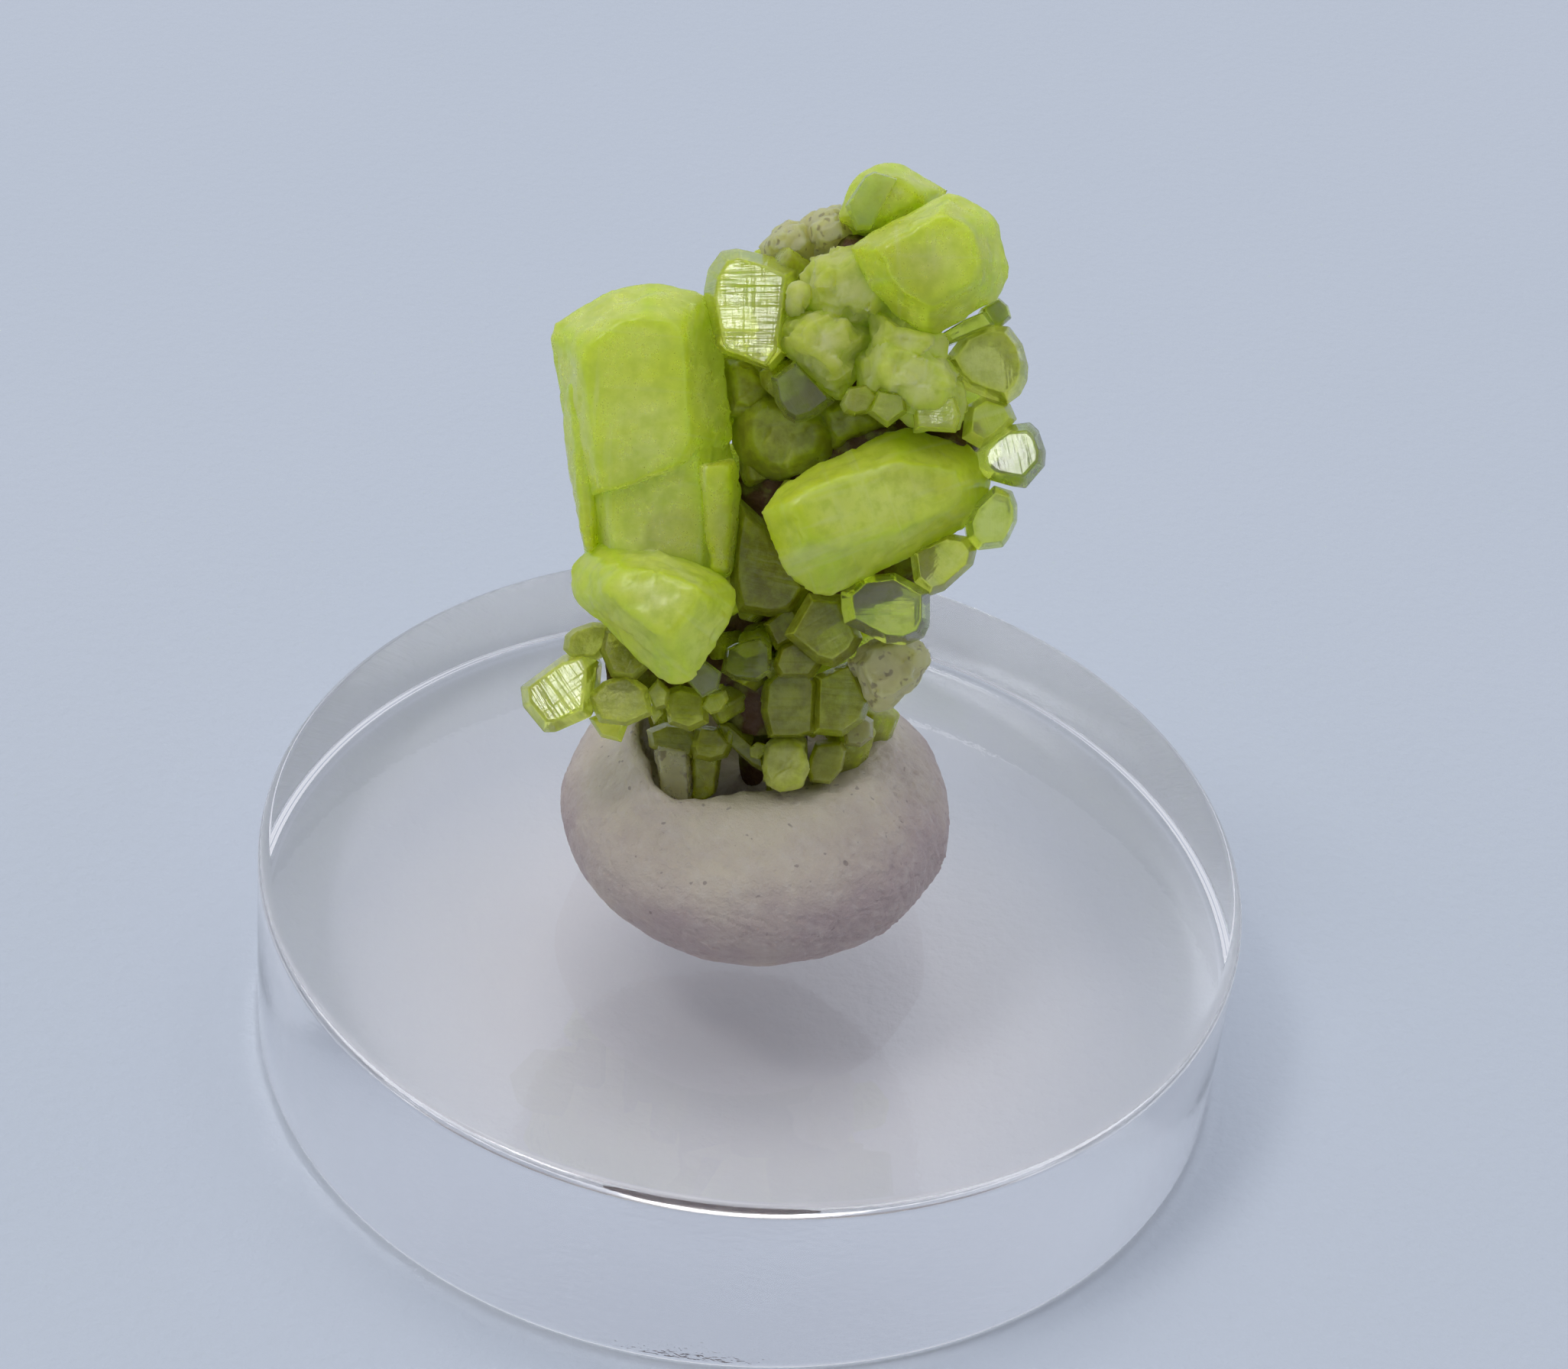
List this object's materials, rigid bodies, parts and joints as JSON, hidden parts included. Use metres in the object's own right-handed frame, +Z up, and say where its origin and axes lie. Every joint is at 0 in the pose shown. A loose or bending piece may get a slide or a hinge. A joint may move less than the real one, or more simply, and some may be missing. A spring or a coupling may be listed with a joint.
{
  "type": "mineral specimen on a stand",
  "caption": "Cluster of stout six-sided yellow-green crystals, held upright in a ball of putty on a thick clear disc, for display.",
  "frame": {"origin": "the centre of the disc's underside, where it rests on the table", "axes": "+Z up through the disc's centre; -Y towards the display side, from which the putty's front lip and the large end faces are seen"},
  "size_m": [0.032, 0.032, 0.0318],
  "materials": {
    "crystal": "milky, waxy",
    "putty": "matt, finely wrinkled",
    "acrylic": "polished, clear"
  },
  "bodies": {
    "root": {"crystal_cluster": "crystal", "putty_ball": "putty", "clear_disc": "acrylic"}
  },
  "joints": []
}
